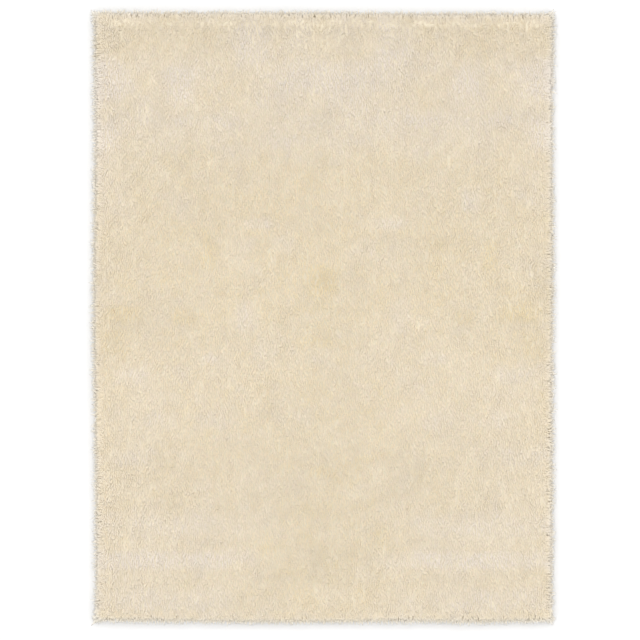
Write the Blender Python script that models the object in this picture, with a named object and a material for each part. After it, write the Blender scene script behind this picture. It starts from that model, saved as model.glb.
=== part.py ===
"""A cream shag rug, laid flat. It is one tufted cloth: the pile stands on a thin base, leans out past the
base's cut edge all round, and makes nearly all the thickness.

Metres, +Z up, +Y along the rug. The origin is on the floor, under the middle of the rug's box.
"""

from collections import namedtuple

import bmesh
import bpy
from mathutils import Vector, noise

# Driving dimensions
BASE_WIDTH = 1.600
BASE_LENGTH = 2.134
BASE_THICKNESS = 0.004
THICKNESS = 0.032
PILE_REACH = 0.019
CORNER_RADIUS = 0.012

# The level top is a grid of this many cells. Those along its sides are only as wide as the corner radius.
CELLS_ACROSS = 28
CELLS_ALONG = 36

# The pile is uneven: hollows in its top, and tufts at the edge that reach more or less far
HOLLOW_DEPTH = 0.003
HOLLOW_SIZE = 0.22
REACH_CHANGE = 0.16
REACH_WAVE = 0.11
NOISE_SEED = 4.5

# The section of the edge, from the level top down to the underside. out is how far past the base's cut
# edge, as a share of PILE_REACH, and up is the height above the floor. The last two rows are the base's
# own edge, which the pile overhangs.
Row = namedtuple("Row", "out up")
EDGE_SECTION = (
    Row(-0.30, 0.97 * THICKNESS),
    Row(0.45, 0.85 * THICKNESS),
    Row(0.88, 0.62 * THICKNESS),
    Row(1.00, 0.36 * THICKNESS),
    Row(0.80, 0.17 * THICKNESS),
    Row(0.00, BASE_THICKNESS),
    Row(0.00, 0.0),
)
LEVEL_TOP_OUT = -1.30

# The cloth is not cut or laid quite straight. out is how far a side stands out, and at is the place along
# it, from -1 at its -X or -Y end to 1 at the other.
Sway = namedtuple("Sway", "at out")
SIDE_SWAY = {
    "-X": (Sway(-1, -0.004), Sway(-0.6, -0.004), Sway(0, 0.003), Sway(0.6, -0.001), Sway(1, 0.001)),
    "+X": (Sway(-1, -0.002), Sway(-0.5, -0.001), Sway(0.2, 0.001), Sway(0.6, -0.001), Sway(1, 0.003)),
    "-Y": (Sway(-1, -0.004), Sway(-0.2, 0.002), Sway(0.4, -0.001), Sway(0.6, 0.002), Sway(1, -0.003)),
    "+Y": (Sway(-1, 0.002), Sway(0, 0.001), Sway(0.5, -0.002), Sway(1, -0.003)),
}

YARN_COLOUR = (0.783, 0.680, 0.515, 1.0)
YARN_ROUGHNESS = 0.95


def clear_scene():
    for old in list(bpy.data.objects):
        bpy.data.objects.remove(old, do_unlink=True)


def sway(side, at):
    """How far a side stands out at this place along it, easing from one row of its table to the next."""
    rows = SIDE_SWAY[side]
    for low, high in zip(rows, rows[1:]):
        if at <= high.at:
            share = (at - low.at) / (high.at - low.at)
            ease = share * share * (3 - 2 * share)
            return low.out + (high.out - low.out) * ease
    return rows[-1].out


def station(share, cells, half):
    """Where the grid line at this share of a side, from -1 to 1, lies: the outermost cell is narrow."""
    line = round((share + 1) / 2 * cells)
    if line in (0, cells):
        return share * half
    inner = half - CORNER_RADIUS
    return inner * (2 * (line - 1) / (cells - 2) - 1)


def base_outline(place):
    """Where a grid point of the base cloth lies, for its place from -1 to 1 on each axis."""
    x = station(place.x, CELLS_ACROSS, BASE_WIDTH / 2)
    y = station(place.y, CELLS_ALONG, BASE_LENGTH / 2)
    if abs(place.x) == 1 and abs(place.y) == 1:
        cut_in = CORNER_RADIUS * (1 - 0.5**0.5)
        x -= cut_in * place.x
        y -= cut_in * place.y
    left = -sway("-X", place.y)
    right = sway("+X", place.y)
    near = -sway("-Y", place.x)
    far = sway("+Y", place.x)
    x += left + (right - left) * (place.x + 1) / 2
    y += near + (far - near) * (place.y + 1) / 2
    return x, y


def uneven(x, y, size):
    """Smooth noise from -1 to 1, whose humps are about this size."""
    return noise.noise(Vector((x / size, y / size, NOISE_SEED)))


def moved_out(place, out):
    """A point of the outline moved out by this share of the pile's reach, or in where it is below 0."""
    x, y = base_outline(place)
    reach = PILE_REACH * out
    if out > 0:
        reach *= 1 + REACH_CHANGE * uneven(x, y, REACH_WAVE)
    return x * (1 + reach / (BASE_WIDTH / 2)), y * (1 + reach / (BASE_LENGTH / 2))


def middle_of(bm):
    """The middle of the mesh's box, at floor height."""
    across = [vert.co.x for vert in bm.verts]
    along = [vert.co.y for vert in bm.verts]
    return Vector(((min(across) + max(across)) / 2, (min(along) + max(along)) / 2, 0))


def rug_mesh():
    """The level top, with the rings of the edge drawn down round it and the flat underside closing them."""
    bm = bmesh.new()
    bmesh.ops.create_grid(bm, x_segments=CELLS_ACROSS, y_segments=CELLS_ALONG, size=1)
    place = bm.verts.layers.float_vector.new("place")
    for vert in bm.verts:
        vert[place] = Vector([round(share, 6) for share in vert.co])
        x, y = moved_out(vert[place], LEVEL_TOP_OUT)
        hollow = HOLLOW_DEPTH * (0.5 - 0.5 * uneven(x, y, HOLLOW_SIZE))
        vert.co = (x, y, THICKNESS - hollow)
    ring = [edge for edge in bm.edges if edge.is_boundary]
    for row in EDGE_SECTION:
        drawn = bmesh.ops.extrude_edge_only(bm, edges=ring)["geom"]
        ring = [item for item in drawn if isinstance(item, bmesh.types.BMEdge)]
        for vert in {vert for edge in ring for vert in edge.verts}:
            x, y = moved_out(vert[place], row.out)
            vert.co = (x, y, row.up)
    bmesh.ops.edgeloop_fill(bm, edges=ring)
    bmesh.ops.recalc_face_normals(bm, faces=bm.faces)
    bm.verts.layers.float_vector.remove(place)
    bmesh.ops.translate(bm, verts=bm.verts, vec=-middle_of(bm))
    mesh = bpy.data.meshes.new("rug")
    bm.to_mesh(mesh)
    bm.free()
    mesh.shade_smooth()
    mesh.set_sharp_from_angle(angle=0.9)
    return mesh


def yarn_material():
    material = bpy.data.materials.new("cream_yarn")
    material.use_nodes = True
    surface = material.node_tree.nodes["Principled BSDF"]
    surface.inputs["Base Color"].default_value = YARN_COLOUR
    surface.inputs["Roughness"].default_value = YARN_ROUGHNESS
    surface.inputs["Metallic"].default_value = 0.0
    return material


def build():
    clear_scene()
    collection = bpy.data.collections.new("shag_rug")
    bpy.context.scene.collection.children.link(collection)
    mesh = rug_mesh()
    mesh.materials.append(yarn_material())
    collection.objects.link(bpy.data.objects.new("rug", mesh))


build()
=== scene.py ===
"""The looks of the cream shag rug, in metres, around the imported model.

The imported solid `rug` gives the outline and the height. Here it is replaced by what the real rug is made
of: a woven base cloth, the dense foot of the pile, and some 80,000 separate yarns that stand up from the
base, bend over with the nap and hang past the edge.
"""

import math

import bpy
import numpy as np
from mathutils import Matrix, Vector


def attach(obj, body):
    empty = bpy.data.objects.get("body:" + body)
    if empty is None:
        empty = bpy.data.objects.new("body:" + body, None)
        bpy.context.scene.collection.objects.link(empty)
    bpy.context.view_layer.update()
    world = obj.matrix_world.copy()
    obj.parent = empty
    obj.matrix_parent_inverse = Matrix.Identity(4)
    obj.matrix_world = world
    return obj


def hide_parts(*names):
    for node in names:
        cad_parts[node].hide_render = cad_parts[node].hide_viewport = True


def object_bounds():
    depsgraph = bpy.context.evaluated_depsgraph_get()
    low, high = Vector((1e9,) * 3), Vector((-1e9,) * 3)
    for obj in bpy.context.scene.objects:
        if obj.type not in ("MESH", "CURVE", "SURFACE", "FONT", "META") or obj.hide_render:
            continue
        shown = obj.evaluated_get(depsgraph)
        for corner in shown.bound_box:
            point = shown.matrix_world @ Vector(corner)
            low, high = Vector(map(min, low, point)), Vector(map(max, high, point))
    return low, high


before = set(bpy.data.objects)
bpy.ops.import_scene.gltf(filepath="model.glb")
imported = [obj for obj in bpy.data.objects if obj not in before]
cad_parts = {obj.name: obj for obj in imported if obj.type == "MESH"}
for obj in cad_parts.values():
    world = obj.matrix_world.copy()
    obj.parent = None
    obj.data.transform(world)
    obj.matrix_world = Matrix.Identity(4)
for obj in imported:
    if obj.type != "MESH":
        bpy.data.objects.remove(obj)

cad_low, cad_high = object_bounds()

# ---------------------------------------------------------------------------------------------------------
# Sizes, in metres
# ---------------------------------------------------------------------------------------------------------

BODY = "root"

# the base cloth, flat, and the depth of the band that holds the points of one side of its outline
BASE_THICKNESS = 0.004
CORNER_BAND = 0.012

# the pile, the gap under it, and how far its yarns hang out past the base's two ends and two long sides
TOP = cad_high[2]
PILE_HEIGHT = TOP - BASE_THICKNESS
FOOT_GAP = 0.0003
END_REACH = 0.0204
SIDE_REACH = 0.0238

# one yarn: its width, how thick it is for that width, and how far it leans over
YARN_WIDTH = 0.0052
YARN_FLATNESS = 0.5
LEAN = 0.024

# the yarns over the whole base, in rows, which lean a little outwards and get lower near an edge
STRIPS = 5
YARNS_ACROSS = 224
YARNS_ALONG = 292
ROW_SHIFT = 0.75
ACROSS_END = 0.997
ALONG_END = 0.998
TOP_SHARE = 0.95
TIP_SHARES = (0.92, 0.97)
WIDTH_SHARES = (0.85, 1.15)
TURN_BAND = 0.035
TURN_SHARE = 0.35
EDGE_DROP = 0.14
DROP_BAND = 0.020

# the extra yarns that stand near the edge and hang out past it, the outer ones lower
EDGE_YARNS_PER_METRE = 1850
EDGE_DEPTH = 0.042
EDGE_CROWDING = 1.4
EDGE_INSET = 0.001
EDGE_WIDTH_SHARES = (0.6, 1.0)
FALL_BAND = 0.020
LONGEST_REACH = 1.5 * LEAN
CORNER_YARNS = 100
CORNER_INSET = 0.004
CORNER_FAN = (0.10, 0.90)

# the dense foot of the pile, which falls at the edge
BED_HEIGHT = 0.82 * PILE_HEIGHT
BED_SLOPE = 0.012
BED_EDGE_SHARE = 0.40
BED_LUMPS = 0.0010
BED_GAP = 0.0006


def base_ring():
    """The base cloth's outline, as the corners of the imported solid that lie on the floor."""
    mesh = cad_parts["rug"].data
    points = np.empty(len(mesh.vertices) * 3)
    mesh.vertices.foreach_get("co", points)
    points = points.reshape(-1, 3)
    on_floor = points[points[:, 2] < 0.1 * BASE_THICKNESS]
    return np.unique(np.round(on_floor[:, :2], 6), axis=0)


RING = base_ring()
HALF_WIDTH, HALF_LENGTH = np.abs(RING).max(axis=0)


def side_of_ring(axis, way):
    """The corners along one side of the base, as (place along the side, where the side lies), in order."""
    half = (HALF_WIDTH, HALF_LENGTH)[axis]
    side = RING[way * RING[:, axis] > half - CORNER_BAND]
    side = side[np.argsort(side[:, 1 - axis])]
    return side[:, 1 - axis], side[:, axis]


LEFT, RIGHT = side_of_ring(0, -1), side_of_ring(0, 1)
NEAR, FAR = side_of_ring(1, -1), side_of_ring(1, 1)


def on_base(s, t):
    """Places on the base cloth for s across and t along it, each from -1 to 1."""
    x, y = s * HALF_WIDTH, t * HALF_LENGTH
    left, right = np.interp(y, *LEFT), np.interp(y, *RIGHT)
    near, far = np.interp(x, *NEAR), np.interp(x, *FAR)
    return left + (right - left) * (s + 1) / 2, near + (far - near) * (t + 1) / 2


def smooth(share):
    share = np.clip(share, 0, 1)
    return share * share * (3 - 2 * share)


NOISE_CELLS = 128


def soft_noise(x, y, size, seed):
    """Noise from -1 to 1 whose humps are about this size."""
    lattice = np.random.default_rng(seed).uniform(-1, 1, (NOISE_CELLS, NOISE_CELLS))
    u, v = x / size + NOISE_CELLS / 2, y / size + NOISE_CELLS / 2
    i, j = np.floor(u).astype(int), np.floor(v).astype(int)
    fu, fv = smooth(u - i), smooth(v - j)
    i, j = i % (NOISE_CELLS - 1), j % (NOISE_CELLS - 1)
    low = lattice[i, j] * (1 - fu) + lattice[i + 1, j] * fu
    high = lattice[i, j + 1] * (1 - fu) + lattice[i + 1, j + 1] * fu
    return low * (1 - fv) + high * fv


def gaps_to_sides(x, y):
    """How far inside each side of the base a place is, with the direction out past that side."""
    return (
        (x - np.interp(y, *LEFT), -1, 0),
        (np.interp(y, *RIGHT) - x, 1, 0),
        (y - np.interp(x, *NEAR), 0, -1),
        (np.interp(x, *FAR) - y, 0, 1),
    )


def outward(x, y, band):
    """The direction out past the nearest edge, and how near it is: 0 at the band's depth, 1 at the edge."""
    way_x, way_y, nearest = np.zeros_like(x), np.zeros_like(x), np.zeros_like(x)
    for gap, to_x, to_y in gaps_to_sides(x, y):
        near = smooth(1 - gap / band)
        way_x += near * to_x
        way_y += near * to_y
        nearest = np.maximum(nearest, near)
    length = np.maximum(np.hypot(way_x, way_y), 1e-6)
    return way_x / length, way_y / length, nearest


def rim_gap(x, y):
    """How far inside the base's nearest side a place is."""
    return np.minimum.reduce([gap for gap, _, _ in gaps_to_sides(x, y)])


# ---------------------------------------------------------------------------------------------------------
# Colour: soft patches, paler or warmer, lighter or darker, most of them alike on the left and the right, with
# painted shade and painted light near the edges
# ---------------------------------------------------------------------------------------------------------

BOTH, LEFT_ONLY, RIGHT_ONLY = (-1, 1), (-1,), (1,)

# place from the rug's middle, half the patch's size, and how much warmer (or, below 0, paler) it is there
WARM_PATCHES = (
    # sides, across, along, wide, long, warmer
    (BOTH, 0.00, 0.25, 0.90, 0.36, 0.13),
    (BOTH, 0.00, -0.40, 0.90, 0.30, 0.05),
    (BOTH, 0.00, -0.48, 0.24, 0.24, 0.08),
    (BOTH, 0.00, -0.88, 0.22, 0.20, 0.15),
    (BOTH, 0.58, 0.98, 0.26, 0.07, 0.08),
    (BOTH, 0.40, 0.75, 0.50, 0.16, -0.20),
    (BOTH, 0.76, 0.84, 0.08, 0.07, -0.40),
    (BOTH, 0.51, 0.83, 0.05, 0.06, -0.30),
    (BOTH, 0.35, 0.79, 0.11, 0.06, 0.18),
    (BOTH, 0.61, 0.81, 0.05, 0.04, 0.15),
    (BOTH, 0.00, 0.85, 0.20, 0.06, -0.24),
    (BOTH, 0.25, 0.97, 0.07, 0.08, -0.36),
    (BOTH, 0.10, 1.00, 0.06, 0.06, -0.20),
    (BOTH, 0.79, 0.64, 0.07, 0.06, -0.34),
    (BOTH, 0.45, 0.69, 0.20, 0.02, -0.14),
    (BOTH, 0.31, 0.58, 0.08, 0.03, -0.16),
    (BOTH, 0.10, 0.62, 0.07, 0.02, -0.14),
    (BOTH, 0.74, 0.46, 0.07, 0.10, -0.14),
    (BOTH, 0.23, 0.33, 0.06, 0.02, -0.42),
    (BOTH, 0.14, 0.25, 0.05, 0.03, -0.18),
    (BOTH, 0.27, 0.25, 0.04, 0.03, -0.18),
    (RIGHT_ONLY, 0.52, 0.41, 0.03, 0.04, -0.38),
    (LEFT_ONLY, 0.50, 0.40, 0.03, 0.05, -0.14),
    (BOTH, 0.27, 0.01, 0.04, 0.06, -0.30),
    (BOTH, 0.00, 0.13, 0.06, 0.05, 0.40),
    (BOTH, 0.00, 0.00, 0.04, 0.08, 0.12),
    (BOTH, 0.00, -0.09, 0.12, 0.02, 0.20),
    (BOTH, 0.70, 0.01, 0.07, 0.03, 0.38),
    (BOTH, 0.50, 0.00, 0.04, 0.03, 0.28),
    (BOTH, 0.74, -0.09, 0.05, 0.05, 0.26),
    (LEFT_ONLY, 0.50, -0.09, 0.03, 0.03, 0.18),
    (BOTH, 0.40, 0.22, 0.03, 0.07, 0.20),
    (RIGHT_ONLY, 0.59, 0.21, 0.03, 0.06, 0.30),
    (BOTH, 0.68, 0.09, 0.03, 0.04, 0.12),
    (BOTH, 0.39, -0.15, 0.05, 0.02, -0.24),
    (BOTH, 0.21, -0.14, 0.05, 0.04, -0.14),
    (BOTH, 0.67, -0.21, 0.06, 0.03, -0.20),
    (BOTH, 0.50, -0.21, 0.03, 0.03, -0.12),
    (BOTH, 0.59, -0.37, 0.06, 0.03, -0.20),
    (BOTH, 0.40, -0.37, 0.06, 0.03, -0.20),
    (BOTH, 0.69, -0.50, 0.08, 0.03, -0.20),
    (BOTH, 0.00, -0.55, 0.05, 0.02, 0.22),
    (BOTH, 0.00, -0.66, 0.24, 0.04, 0.08),
    (BOTH, 0.20, -0.79, 0.04, 0.04, 0.18),
    (BOTH, 0.58, -0.74, 0.32, 0.04, -0.20),
    (BOTH, 0.54, -0.86, 0.30, 0.03, -0.38),
    (BOTH, 0.56, -1.00, 0.22, 0.04, -0.26),
)

# the same for how much lighter (or, below 0, darker) it is, in hundredths
LIGHT_PATCHES = (
    # sides, across, along, wide, long, lighter
    # painted shade: these first rows darken a band along the far end and its corners, for the shade on the
    # pile's edge there
    (BOTH, 0.00, 0.98, 0.80, 0.06, -1.8),
    (BOTH, 0.00, 1.04, 0.90, 0.06, -3.2),
    (BOTH, 0.00, 1.04, 0.90, 0.03, -4.5),
    (BOTH, 0.76, 0.98, 0.07, 0.07, -2.8),
    (BOTH, 0.00, 0.98, 0.12, 0.06, -1.4),
    (BOTH, 0.70, 0.83, 0.10, 0.06, 2.6),
    (BOTH, 0.48, 0.80, 0.05, 0.05, 2.4),
    (BOTH, 0.72, 0.71, 0.09, 0.02, -2.6),
    (BOTH, 0.45, 0.71, 0.12, 0.02, -1.2),
    (BOTH, 0.00, 0.67, 0.11, 0.08, -1.8),
    (BOTH, 0.00, 0.70, 0.05, 0.04, -2.4),
    (BOTH, 0.77, 0.64, 0.05, 0.05, 3.0),
    (BOTH, 0.00, 0.55, 0.05, 0.03, -4.0),
    (BOTH, 0.45, 0.52, 0.30, 0.08, -0.8),
    (BOTH, 0.27, 0.36, 0.03, 0.02, -2.2),
    (BOTH, 0.36, 0.36, 0.03, 0.02, -2.2),
    (BOTH, 0.56, 0.35, 0.04, 0.02, -1.6),
    (BOTH, 0.06, 0.39, 0.02, 0.02, -2.4),
    (BOTH, 0.23, 0.32, 0.05, 0.02, 2.6),
    (BOTH, 0.00, 0.31, 0.05, 0.02, -3.6),
    (BOTH, 0.11, 0.33, 0.02, 0.02, -2.4),
    (BOTH, 0.20, 0.26, 0.05, 0.03, -1.6),
    (BOTH, 0.40, 0.27, 0.04, 0.02, -2.8),
    (RIGHT_ONLY, 0.60, 0.27, 0.03, 0.02, -3.2),
    (BOTH, 0.77, 0.12, 0.05, 0.22, -2.0),
    (BOTH, 0.77, 0.14, 0.03, 0.05, -2.2),
    (BOTH, 0.00, 0.13, 0.06, 0.03, -4.4),
    (BOTH, 0.00, 0.02, 0.07, 0.05, -2.4),
    (BOTH, 0.00, -0.07, 0.09, 0.03, -2.0),
    (BOTH, 0.30, 0.01, 0.12, 0.06, 2.0),
    (BOTH, 0.66, -0.02, 0.05, 0.03, -3.0),
    (BOTH, 0.48, -0.03, 0.04, 0.05, -2.6),
    (BOTH, 0.74, -0.10, 0.05, 0.03, -2.4),
    (BOTH, 0.46, -0.24, 0.30, 0.16, 2.2),
    (BOTH, 0.00, -0.40, 0.17, 0.12, -1.2),
    (BOTH, 0.00, -0.62, 0.20, 0.16, -2.4),
    (BOTH, 0.00, -0.88, 0.22, 0.10, -3.0),
    (BOTH, 0.00, -0.87, 0.06, 0.06, -3.6),
    (BOTH, 0.16, -0.92, 0.03, 0.02, -2.0),
    (RIGHT_ONLY, 0.31, -0.57, 0.07, 0.07, -4.2),
    (RIGHT_ONLY, 0.26, -0.49, 0.04, 0.02, -2.0),
    (RIGHT_ONLY, 0.57, -0.64, 0.02, 0.03, -3.6),
    (RIGHT_ONLY, 0.57, -0.54, 0.02, 0.04, -1.6),
    (LEFT_ONLY, 0.37, -0.52, 0.03, 0.03, -2.2),
    (LEFT_ONLY, 0.55, -0.52, 0.03, 0.03, -2.2),
    (LEFT_ONLY, 0.36, -0.67, 0.03, 0.02, -3.0),
    (LEFT_ONLY, 0.55, -0.67, 0.03, 0.02, -3.0),
    (LEFT_ONLY, 0.65, -0.74, 0.03, 0.03, -2.2),
    (BOTH, 0.24, -0.64, 0.04, 0.03, -2.0),
    (BOTH, 0.40, -0.80, 0.12, 0.01, -1.8),
    (BOTH, 0.34, -0.86, 0.08, 0.03, 2.2),
    (BOTH, 0.62, -0.86, 0.08, 0.03, 1.8),
    (BOTH, 0.50, -0.92, 0.28, 0.02, -1.4),
    (BOTH, 0.50, -1.02, 0.28, 0.02, -1.4),
)

# the usual warmth, and the mottle added to it, as (size of its humps, seed)
MIDDLE_WARMTH = 0.47
WARM_MOTTLE = 0.10
WARM_GRAINS = ((0.07, 11), (0.025, 12), (0.010, 15))

# the mottle and the upright streaks in the lightness, and what its whole scale spans
LIGHT_MOTTLE = 0.006
LIGHT_STREAKS = 0.022
STREAK = 2.0
LIGHT_RANGE = 0.24

# painted shade: a slightly darker band just inside the base's edge; and painted light: the paler tips that
# hang past it
RIM_PAINTED_SHADE = 0.005
PAINTED_SHADE_BAND = 0.030
PAINTED_SHADE_FADE = 0.016
PAINTED_SHADE_PAST = 0.014
PAINTED_LIGHT_BAND = 0.029


def patch_sum(patches, x, y):
    """Adds up the patches at each place. A patch is nearly even inside and fades out round its edge."""
    total = np.zeros_like(x)
    for sides, across, along, wide, long, amount in patches:
        for side in sides:
            if across == 0 and side < 0:
                continue
            total += amount * np.exp(-(((x - side * across) / wide) ** 4) - ((y - along) / long) ** 4)
    return total


def warmth(x, y):
    """How warm the yarn's colour is at a place: 0 is the paler cream, 1 the more golden one."""
    level = MIDDLE_WARMTH + patch_sum(WARM_PATCHES, x, y)
    for size, seed in WARM_GRAINS:
        level += WARM_MOTTLE * soft_noise(x, y, size, seed)
    return level


def lightness(x, y):
    """How light the yarn is at a place: 0.5 is usual, and LIGHT_RANGE is what 0 to 1 spans. It holds painted
    shade: a darker band just inside the base's edge and darker rows along the far end.
    """
    level = 0.01 * patch_sum(LIGHT_PATCHES, x, y)
    gap = rim_gap(x, y)
    # painted shade: a slightly darker band just inside the base's edge
    level -= RIM_PAINTED_SHADE * smooth((PAINTED_SHADE_BAND - gap) / PAINTED_SHADE_FADE) * smooth((gap + PAINTED_SHADE_PAST) / PAINTED_SHADE_PAST)
    level += LIGHT_MOTTLE * soft_noise(x, y, 0.06, 13)
    level += LIGHT_STREAKS * soft_noise(x, y / STREAK, 0.009, 14)
    return 0.5 + level / LIGHT_RANGE


def painted_rim_light_share(x, y):
    """1 at the tips that hang furthest out, 0 from a little way inside the base's edge: how much of the paler
    rim cream, painted light, a place gets.
    """
    return smooth(1 - (rim_gap(x, y) + END_REACH) / PAINTED_LIGHT_BAND)


# ---------------------------------------------------------------------------------------------------------
# Yarns: each is a closed spindle of four stations, with rings of three points at the middle two
# ---------------------------------------------------------------------------------------------------------

SIDES = 3
YARN_POINTS = 2 + 2 * SIDES
TIP = YARN_POINTS - 1

# where a yarn's stations lie along its lean, each with its share of the height; the tip's share varies
FOOT = (0.0, 0.0)
KNEE = (0.16, 0.80)
BEND = (0.62, 0.98)
KNEE_WIDTH = 0.92

# not quite upright, so that a yarn that stands straight up still has a side
NEARLY_UP = (0.013, 0.027, 1.0)

# each yarn's own small difference, as a standard deviation, and the margin round its cell of the map
ROLL_SPREAD = 0.2
WARM_SPREAD = 0.05
LIGHT_SPREAD = 0.02
CELL_MARGIN = 0.08


def yarn_faces():
    """One yarn's faces as lists of its points, and their corners' places in its own cell of the map."""
    faces, places = [], []
    for side in range(SIDES):
        after = (side + 1) % SIDES
        left, middle, right = side / SIDES, (side + 0.5) / SIDES, (side + 1) / SIDES
        low, high = 1 + side, 1 + SIDES + side
        low_next, high_next = 1 + after, 1 + SIDES + after
        faces += [[0, low, low_next], [low, high, high_next, low_next], [high, TIP, high_next]]
        places += [
            [(middle, 0), (left, 1 / 3), (right, 1 / 3)],
            [(left, 1 / 3), (left, 2 / 3), (right, 2 / 3), (right, 1 / 3)],
            [(left, 2 / 3), (middle, 1), (right, 2 / 3)],
        ]
    return faces, places


def unit(vectors):
    return vectors / np.maximum(np.linalg.norm(vectors, axis=1, keepdims=True), 1e-9)


def ring_round(middle, along, width, roll):
    """Three points round each middle, square to the yarn there: one on each side and one below."""
    across = unit(np.cross(along, NEARLY_UP))
    up = np.cross(across, along)
    points = []
    for side in range(SIDES):
        angle = roll + math.radians(30 + 360 / SIDES * side)
        arm = np.cos(angle)[:, None] * across + YARN_FLATNESS * np.sin(angle)[:, None] * up
        points.append(middle + 0.5 * width[:, None] * arm)
    return np.stack(points, axis=1)


def yarn_object(name, stations, width, rng):
    """Joins many yarns into one mesh. stations holds each yarn's four points, from foot to tip."""
    count = len(width)
    foot, knee, bend, tip = stations
    roll = rng.normal(0, ROLL_SPREAD, count)
    low = ring_round(knee, unit(bend - foot), KNEE_WIDTH * width, roll)
    high = ring_round(bend, unit(tip - knee), width, roll)
    points = np.concatenate([foot[:, None], low, high, tip[:, None]], axis=1)

    faces, places = yarn_faces()
    corners = np.concatenate(faces)
    sizes = np.array([len(face) for face in faces])
    loops = (np.arange(count)[:, None] * YARN_POINTS + corners).ravel()
    starts = np.concatenate([[0], np.cumsum(np.tile(sizes, count))[:-1]])

    cells = math.ceil(math.sqrt(count))
    cell = np.stack([np.arange(count) % cells, np.arange(count) // cells], axis=1)
    within = CELL_MARGIN + (1 - 2 * CELL_MARGIN) * np.concatenate([np.array(p) for p in places])
    maps = (cell[:, None] + within[None]) / cells

    along = np.array([0] + [1 / 3] * SIDES + [2 / 3] * SIDES + [1])
    seen_x, seen_y = bend[:, 0], bend[:, 1]
    colours = np.ones((count, YARN_POINTS, 4))
    colours[:, :, 0] = (warmth(seen_x, seen_y) + rng.normal(0, WARM_SPREAD, count))[:, None]
    colours[:, :, 1] = along
    # lightness, with the painted shade near the edges in it
    colours[:, :, 2] = (lightness(seen_x, seen_y) + rng.normal(0, LIGHT_SPREAD, count))[:, None]
    # painted light: how much of the paler rim cream each point gets
    colours[:, :, 3] = painted_rim_light_share(points[:, :, 0], points[:, :, 1])

    mesh = bpy.data.meshes.new(name)
    mesh.vertices.add(count * YARN_POINTS)
    mesh.vertices.foreach_set("co", points.ravel())
    mesh.loops.add(len(loops))
    mesh.loops.foreach_set("vertex_index", loops)
    mesh.polygons.add(len(starts))
    mesh.polygons.foreach_set("loop_start", starts)
    mesh.update(calc_edges=True)
    mesh.uv_layers.new(name="OFBake").uv.foreach_set("vector", maps.ravel())
    layer = mesh.color_attributes.new("yarn", "FLOAT_COLOR", "POINT")
    layer.data.foreach_set("color", colours.ravel())
    mesh.shade_smooth()
    yarns = bpy.data.objects.new(name, mesh)
    bpy.context.scene.collection.objects.link(yarns)
    return yarns


def top_yarns(rng):
    """Foot places of the yarns over the whole base, in tufted rows that are a little uneven."""
    across = (np.arange(YARNS_ACROSS) + 0.5) / YARNS_ACROSS * 2 - 1
    along = (np.arange(YARNS_ALONG) + 0.5) / YARNS_ALONG * 2 - 1
    s, t = np.meshgrid(across, along, indexing="ij")
    s = s.ravel() + rng.uniform(-ROW_SHIFT, ROW_SHIFT, s.size) / YARNS_ACROSS
    t = t.ravel() + rng.uniform(-ROW_SHIFT, ROW_SHIFT, t.size) / YARNS_ALONG
    return np.clip(s, -ACROSS_END, ACROSS_END), np.clip(t, -ALONG_END, ALONG_END)


# the way the nap lies, its swirls as (how far it turns, size, seed), and each yarn's own turn
NAP = -math.pi / 2
SWIRLS = ((0.15, 0.30, 21), (0.10, 0.045, 22))
NAP_SPREAD = 0.10


def lean_of(x, y, rng):
    """How far the yarns lean, across and along: with the nap, swirled, and outwards near an edge."""
    angle = np.full_like(x, NAP)
    for turn, size, seed in SWIRLS:
        angle += turn * soft_noise(x, y, size, seed)
    angle += rng.normal(0, NAP_SPREAD, len(x))
    reach = LEAN * (1 + 0.05 * soft_noise(x, y, 0.12, 23)) * rng.uniform(0.8, 1.2, len(x))
    out_x, out_y, near = outward(x, y, TURN_BAND)
    turned = TURN_SHARE * near
    lean_x = reach * ((1 - turned) * np.cos(angle) + turned * out_x)
    lean_y = reach * ((1 - turned) * np.sin(angle) + turned * out_y)
    return lean_x, lean_y


def bent(x, y, lean_x, lean_y, tall, droop):
    """The four stations of yarns that stand at x, y and lean over. droop is the tips' share of the height."""
    stations = []
    for share, height in (FOOT, KNEE, BEND, (1.0, droop)):
        z = BASE_THICKNESS + FOOT_GAP + height * tall
        stations.append(np.stack([x + share * lean_x, y + share * lean_y, z], axis=1))
    return stations


def make_top(rng):
    """The yarns over the whole base, as strips that lie side by side."""
    s, t = top_yarns(rng)
    x, y = on_base(s, t)
    lean_x, lean_y = lean_of(x, y, rng)
    tall = PILE_HEIGHT * (TOP_SHARE + 0.01 * soft_noise(x, y, 0.2, 24)) * rng.uniform(0.99, 1.01, len(x))
    tall = tall * (1 - EDGE_DROP * smooth(1 - rim_gap(x, y) / DROP_BAND))
    stations = bent(x, y, lean_x, lean_y, tall, rng.uniform(*TIP_SHARES, len(x)))
    width = YARN_WIDTH * rng.uniform(*WIDTH_SHARES, len(x))
    strip = np.minimum(((s + 1) / 2 * STRIPS).astype(int), STRIPS - 1)
    made = []
    for number in range(STRIPS):
        own = strip == number
        part = [station[own] for station in stations]
        made.append(yarn_object(f"pile_strip_{number + 1}", part, width[own], rng))
    return made


def side_places(rng):
    """Places along the base's four sides, with the direction out and how far in from the side each is."""
    x, y, way, inset = [], [], [], []
    for axis, sign, side in ((0, -1, LEFT), (0, 1, RIGHT), (1, -1, NEAR), (1, 1, FAR)):
        half = (HALF_LENGTH, HALF_WIDTH)[axis]
        count = int(2 * half * EDGE_YARNS_PER_METRE)
        at = rng.uniform(-half, half, count) * 0.999
        depth = EDGE_DEPTH * rng.uniform(0, 1, count) ** EDGE_CROWDING
        line = np.interp(at, *side) - sign * depth
        x.append(line if axis == 0 else at)
        y.append(at if axis == 0 else line)
        way.append(np.full(count, math.atan2(sign * axis, sign * (1 - axis))))
        inset.append(depth)
    return [np.concatenate(part) for part in (x, y, way, inset)]


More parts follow.
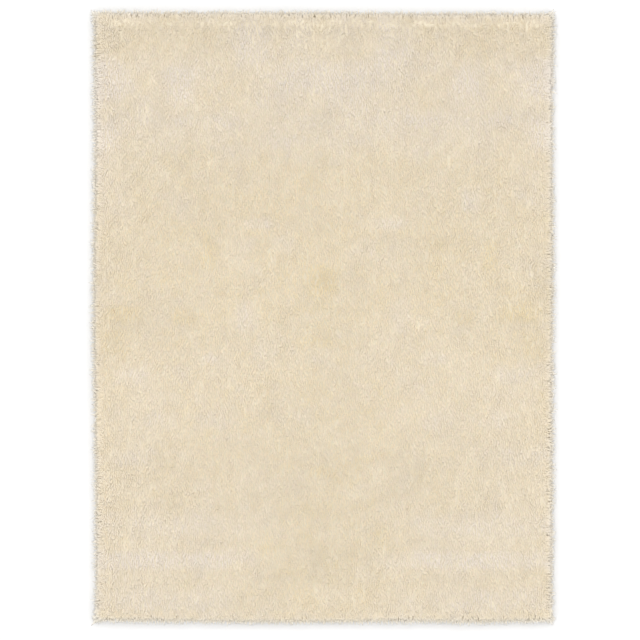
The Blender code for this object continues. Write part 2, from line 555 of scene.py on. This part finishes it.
def corner_places(rng):
    """The same for the base's corners, where the yarns fan out from one side's direction to the other's."""
    x, y, way, inset = [], [], [], []
    for sign_x in (-1, 1):
        for sign_y in (-1, 1):
            depth = CORNER_BAND * rng.uniform(0, 1, CORNER_YARNS)
            across = CORNER_BAND * rng.uniform(0, 1, CORNER_YARNS)
            x.append(sign_x * (HALF_WIDTH - CORNER_INSET - across))
            y.append(sign_y * (HALF_LENGTH - CORNER_INSET - depth))
            fan = rng.uniform(*CORNER_FAN, CORNER_YARNS) * math.pi / 2
            way.append(np.arctan2(sign_y * np.sin(fan), sign_x * np.cos(fan)))
            inset.append(np.minimum(across, depth))
    return [np.concatenate(part) for part in (x, y, way, inset)]


# the share of the edge yarns that hang out further than the rest, and how much further
STRAY_SHARE = 0.4
STRAY_REACH = 1.35

# how far the edge yarns turn from the straight way out, along the sides and at the corners
SIDE_SPREAD = 0.25
CORNER_SPREAD = 0.05

# the outermost yarns' heights as shares of the pile's and their tips' as shares of their own, then the
# innermost ones'
OUTER_HEIGHTS = (0.45, 0.80)
OUTER_TIPS = (0.05, 0.60)
INNER_HEIGHT = 0.93
INNER_TIP = 0.86


def make_edge(rng):
    """Yarns near the edge that hang out past the base. The further out they stand, the lower they hang."""
    sides, corners = side_places(rng), corner_places(rng)
    x, y, way, inset = [np.concatenate(pair) for pair in zip(sides, corners)]
    count = len(x)
    at_corner = np.arange(count) >= len(sides[0])
    x = np.clip(x, EDGE_INSET - HALF_WIDTH, HALF_WIDTH - EDGE_INSET)
    y = np.clip(y, EDGE_INSET - HALF_LENGTH, HALF_LENGTH - EDGE_INSET)
    full = smooth(inset / FALL_BAND)
    furthest = END_REACH + (SIDE_REACH - END_REACH) * np.abs(np.cos(way))
    past = furthest * rng.uniform(0.40, 1.0, count) * (1 - 0.5 * full)
    stray = rng.uniform(0, 1, count) < STRAY_SHARE
    past = past * np.where(stray, STRAY_REACH, 1.0)
    reach = np.minimum(past + inset, LONGEST_REACH)
    squared = 1 / np.maximum(np.abs(np.cos(way)), np.abs(np.sin(way)))
    reach = reach * np.where(at_corner, squared, 1.0)
    way = way + rng.normal(0, 1, count) * np.where(at_corner, CORNER_SPREAD, SIDE_SPREAD)
    lowest = rng.uniform(*OUTER_HEIGHTS, count)
    tall = PILE_HEIGHT * (lowest + (INNER_HEIGHT - lowest) * full)
    droop = rng.uniform(*OUTER_TIPS, count) * (1 - full) + INNER_TIP * full
    stations = bent(x, y, reach * np.cos(way), reach * np.sin(way), tall, droop)
    width = YARN_WIDTH * rng.uniform(*EDGE_WIDTH_SHARES, count)
    return yarn_object("pile_edge", stations, width, rng)


# ---------------------------------------------------------------------------------------------------------
# Sheets: the base cloth, and the dense foot of the pile above it
# ---------------------------------------------------------------------------------------------------------


# how many cells each sheet has across and along, and extra lines this far in from each edge
BED_CELLS = (54, 72)
BASE_CELLS = (28, 36)
CLOSE_LINES = (0.0015, 0.004, 0.008, 0.012)


def grid_lines(cells, half):
    """Even lines from -1 to 1, and closer ones near both ends, where the foot of the pile falls."""
    close = 1 - np.array(CLOSE_LINES) / half
    return np.sort(np.concatenate([np.linspace(-1, 1, cells + 1), close, -close]))


def slab_object(name, cells_across, cells_along, bottom, top_of):
    """A closed sheet over the base. top_of gives the height of its upper face at a place."""
    across, along = grid_lines(cells_across, HALF_WIDTH), grid_lines(cells_along, HALF_LENGTH)
    s, t = np.meshgrid(across, along, indexing="ij")
    x, y = on_base(s, t)
    high = np.stack([x, y, top_of(x, y)], axis=2).reshape(-1, 3)
    low = np.stack([x, y, np.full_like(x, bottom)], axis=2).reshape(-1, 3)
    number = np.arange(s.size).reshape(s.shape)
    a, b = number[:-1, :-1].ravel(), number[1:, :-1].ravel()
    c, d = number[1:, 1:].ravel(), number[:-1, 1:].ravel()
    faces = [np.stack([a, b, c, d], axis=1), np.stack([d, c, b, a], axis=1) + s.size]
    rim = np.concatenate([number[:, 0], number[-1, 1:], number[-2::-1, -1], number[0, -2:0:-1]])
    after = np.roll(rim, -1)
    faces.append(np.stack([rim, rim + s.size, after + s.size, after], axis=1))
    faces = np.concatenate(faces)
    mesh = bpy.data.meshes.new(name)
    mesh.from_pydata(np.concatenate([high, low]).tolist(), [], faces.tolist())
    mesh.validate()
    mesh.shade_smooth()
    mesh.set_sharp_from_angle(angle=0.9)
    slab = bpy.data.objects.new(name, mesh)
    bpy.context.scene.collection.objects.link(slab)
    return slab


def base_top(x, y):
    return np.full_like(x, BASE_THICKNESS)


def bed_top(x, y):
    """The foot of the pile is lumpy, and falls at the edge."""
    lumps = BED_LUMPS * soft_noise(x, y, 0.020, 41)
    share = BED_EDGE_SHARE + (1 - BED_EDGE_SHARE) * smooth(rim_gap(x, y) / BED_SLOPE)
    return BASE_THICKNESS + BED_GAP + (BED_HEIGHT + lumps) * share


# ---------------------------------------------------------------------------------------------------------
# Materials
# ---------------------------------------------------------------------------------------------------------

PALE_CREAM = (0.980, 0.884, 0.766, 1.0)
WARM_CREAM = (0.978, 0.837, 0.575, 1.0)
# painted light: a paler, less golden cream for the tips past the edge, lifting their shade
RIM_PAINTED_LIGHT_CREAM = (0.990, 0.940, 0.840, 1.0)
# painted shade: the dense foot of the pile is a little darker cream than the yarns, for the shade deep in the
# pile
BED_PAINTED_SHADE_CREAM = (0.922, 0.828, 0.650, 1.0)
BASE_LINEN = (0.62, 0.54, 0.42, 1.0)


def new_material(name, roughness, sheen):
    material = bpy.data.materials.new(name)
    material.use_nodes = True
    tree = material.node_tree
    surface = tree.nodes["Principled BSDF"]
    surface.inputs["Roughness"].default_value = roughness
    surface.inputs["Specular IOR Level"].default_value = 0.2
    surface.inputs["Sheen Weight"].default_value = sheen
    surface.inputs["Sheen Roughness"].default_value = 0.5
    return material, tree, surface


def add_node(tree, kind, **settings):
    node = tree.nodes.new(kind)
    for name, value in settings.items():
        setattr(node, name, value)
    return node


def noise_node(tree, coordinates, scale, detail):
    node = add_node(tree, "ShaderNodeTexNoise")
    node.inputs["Scale"].default_value = scale
    node.inputs["Detail"].default_value = detail
    tree.links.new(coordinates, node.inputs["Vector"])
    return node


def mix_node(tree, blend, factor, first, second):
    """A colour mix. factor, first and second are each a socket or a plain value."""
    node = add_node(tree, "ShaderNodeMix", data_type="RGBA", blend_type=blend)
    for socket, value in ((node.inputs[0], factor), (node.inputs[6], first), (node.inputs[7], second)):
        if isinstance(value, bpy.types.NodeSocket):
            tree.links.new(value, socket)
        else:
            socket.default_value = value
    return node.outputs[2]


def map_node(tree, value, low, high, to_low, to_high):
    node = add_node(tree, "ShaderNodeMapRange")
    tree.links.new(value, node.inputs["Value"])
    for name, number in (("From Min", low), ("From Max", high), ("To Min", to_low), ("To Max", to_high)):
        node.inputs[name].default_value = number
    return node.outputs["Result"]


def grey_of(tree, value):
    node = add_node(tree, "ShaderNodeCombineColor")
    for socket in node.inputs[:3]:
        tree.links.new(value, socket)
    return node.outputs["Color"]


def yarn_material():
    material, tree, surface = new_material("cream_yarn", 0.9, 0.25)
    facts = add_node(tree, "ShaderNodeAttribute", attribute_name="yarn")
    parts = add_node(tree, "ShaderNodeSeparateColor")
    tree.links.new(facts.outputs["Color"], parts.inputs["Color"])
    tone, along, lightness_and_painted_shade = parts.outputs[0], parts.outputs[1], parts.outputs[2]
    where = add_node(tree, "ShaderNodeTexCoord").outputs["Object"]
    cream = mix_node(tree, "MIX", tone, PALE_CREAM, WARM_CREAM)
    # painted light: the tips past the edge turn to the paler rim cream
    cream = mix_node(tree, "MIX", facts.outputs["Alpha"], cream, RIM_PAINTED_LIGHT_CREAM)
    # painted shade: each yarn is a little darker towards its foot, deep in the pile
    foot = map_node(tree, along, 0.0, 0.5, 0.98, 1.0)
    # each yarn's lightness, which carries the painted shade near the edges
    own = map_node(tree, lightness_and_painted_shade, 0.0, 1.0, 1 - LIGHT_RANGE / 2, 1 + LIGHT_RANGE / 2)
    fibre = noise_node(tree, where, 700, 2)
    shade = map_node(tree, fibre.outputs["Fac"], 0.25, 0.75, 0.97, 1.03)
    for factor in (foot, own, shade):
        cream = mix_node(tree, "MULTIPLY", 1.0, cream, grey_of(tree, factor))
    tree.links.new(cream, surface.inputs["Base Color"])
    bump = add_node(tree, "ShaderNodeBump")
    bump.inputs["Strength"].default_value = 0.5
    bump.inputs["Distance"].default_value = 0.0006
    tree.links.new(fibre.outputs["Fac"], bump.inputs["Height"])
    tree.links.new(bump.outputs["Normal"], surface.inputs["Normal"])
    return material


def bed_material():
    material, tree, surface = new_material("pile_foot", 0.95, 0.2)
    where = add_node(tree, "ShaderNodeTexCoord").outputs["Object"]
    clumps = noise_node(tree, where, 170, 3)
    shade = map_node(tree, clumps.outputs["Fac"], 0.3, 0.7, 0.97, 1.0)
    # painted shade: the pile's foot is darker cream than the yarns above it
    cream = mix_node(tree, "MULTIPLY", 1.0, BED_PAINTED_SHADE_CREAM, grey_of(tree, shade))
    tree.links.new(cream, surface.inputs["Base Color"])
    bump = add_node(tree, "ShaderNodeBump")
    bump.inputs["Strength"].default_value = 0.6
    bump.inputs["Distance"].default_value = 0.003
    tree.links.new(clumps.outputs["Fac"], bump.inputs["Height"])
    tree.links.new(bump.outputs["Normal"], surface.inputs["Normal"])
    return material


def base_material():
    material, tree, surface = new_material("base_weave", 0.9, 0.1)
    where = add_node(tree, "ShaderNodeTexCoord").outputs["Object"]
    waves = []
    for direction in ("X", "Y"):
        wave = add_node(tree, "ShaderNodeTexWave", wave_type="BANDS", bands_direction=direction)
        wave.inputs["Scale"].default_value = 130
        wave.inputs["Distortion"].default_value = 0.6
        tree.links.new(where, wave.inputs["Vector"])
        waves.append(wave.outputs["Fac"])
    weave = add_node(tree, "ShaderNodeMath", operation="MAXIMUM")
    tree.links.new(waves[0], weave.inputs[0])
    tree.links.new(waves[1], weave.inputs[1])
    slubs = noise_node(tree, where, 60, 3)
    thread = map_node(tree, weave.outputs[0], 0.3, 1.0, 0.72, 1.05)
    uneven = map_node(tree, slubs.outputs["Fac"], 0.3, 0.7, 0.93, 1.07)
    linen = mix_node(tree, "MULTIPLY", 1.0, BASE_LINEN, grey_of(tree, thread))
    linen = mix_node(tree, "MULTIPLY", 1.0, linen, grey_of(tree, uneven))
    tree.links.new(linen, surface.inputs["Base Color"])
    bump = add_node(tree, "ShaderNodeBump")
    bump.inputs["Distance"].default_value = 0.0008
    tree.links.new(weave.outputs[0], bump.inputs["Height"])
    tree.links.new(bump.outputs["Normal"], surface.inputs["Normal"])
    return material


# ---------------------------------------------------------------------------------------------------------
# Floor, light and camera
# ---------------------------------------------------------------------------------------------------------

FLOOR_SIZE = 60
FLOOR_GAP = 0.0004
CAMERA_HEIGHT = 6.0
FRAME_SIDE = 2.260
SENSOR = 36.0
VIEW_SHIFT = (-0.012, -0.0100)

SKY_STRENGTH = 1.048
LAMP_STRENGTH = 0.377
LAMP_SPREAD = math.radians(30)
LAMP_TILT = math.radians(40)


def make_floor():
    bpy.ops.mesh.primitive_plane_add(size=FLOOR_SIZE, location=(0, 0, cad_low[2] - FLOOR_GAP))
    floor = bpy.context.object
    floor.name = "floor"
    material, tree, surface = new_material("floor_white", 0.8, 0.0)
    where = add_node(tree, "ShaderNodeTexCoord").outputs["Object"]
    grain = noise_node(tree, where, 30, 2)
    tint = map_node(tree, grain.outputs["Fac"], 0.0, 1.0, 0.950, 0.960)
    tree.links.new(grey_of(tree, tint), surface.inputs["Base Color"])
    floor.data.materials.append(material)


def make_lights():
    world = bpy.data.worlds.new("studio")
    bpy.context.scene.world = world
    world.use_nodes = True
    sky = world.node_tree.nodes["Background"]
    sky.inputs["Color"].default_value = (1.0, 1.0, 1.0, 1.0)
    sky.inputs["Strength"].default_value = SKY_STRENGTH
    lamp = bpy.data.lights.new("softbox", "SUN")
    lamp.energy = LAMP_STRENGTH
    lamp.angle = LAMP_SPREAD
    box = bpy.data.objects.new("softbox", lamp)
    box.location = (0, 2.4, 4.2)
    box.rotation_euler = (-LAMP_TILT, 0, 0)
    bpy.context.scene.collection.objects.link(box)


def make_camera():
    data = bpy.data.cameras.new("camera")
    data.sensor_width = SENSOR
    data.lens = SENSOR * CAMERA_HEIGHT / FRAME_SIDE
    camera = bpy.data.objects.new("camera", data)
    camera.location = (VIEW_SHIFT[0], VIEW_SHIFT[1], TOP + CAMERA_HEIGHT)
    bpy.context.scene.collection.objects.link(camera)
    bpy.context.scene.camera = camera
    bpy.context.scene.view_settings.view_transform = "Standard"


# ---------------------------------------------------------------------------------------------------------
# The whole rug
# ---------------------------------------------------------------------------------------------------------


def finish_piece(piece, material):
    piece.data.materials.append(material)
    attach(piece, BODY)
    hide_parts("rug")


def build():
    make_camera()
    make_lights()
    make_floor()
    rng = np.random.default_rng(7)
    yarn = yarn_material()
    pile = make_top(rng) + [make_edge(rng)]
    for piece in pile:
        finish_piece(piece, yarn)
    bed = slab_object("pile_foot", *BED_CELLS, BASE_THICKNESS + FOOT_GAP, bed_top)
    finish_piece(bed, bed_material())
    base = slab_object("base_cloth", *BASE_CELLS, 0.0, base_top)
    finish_piece(base, base_material())


build()
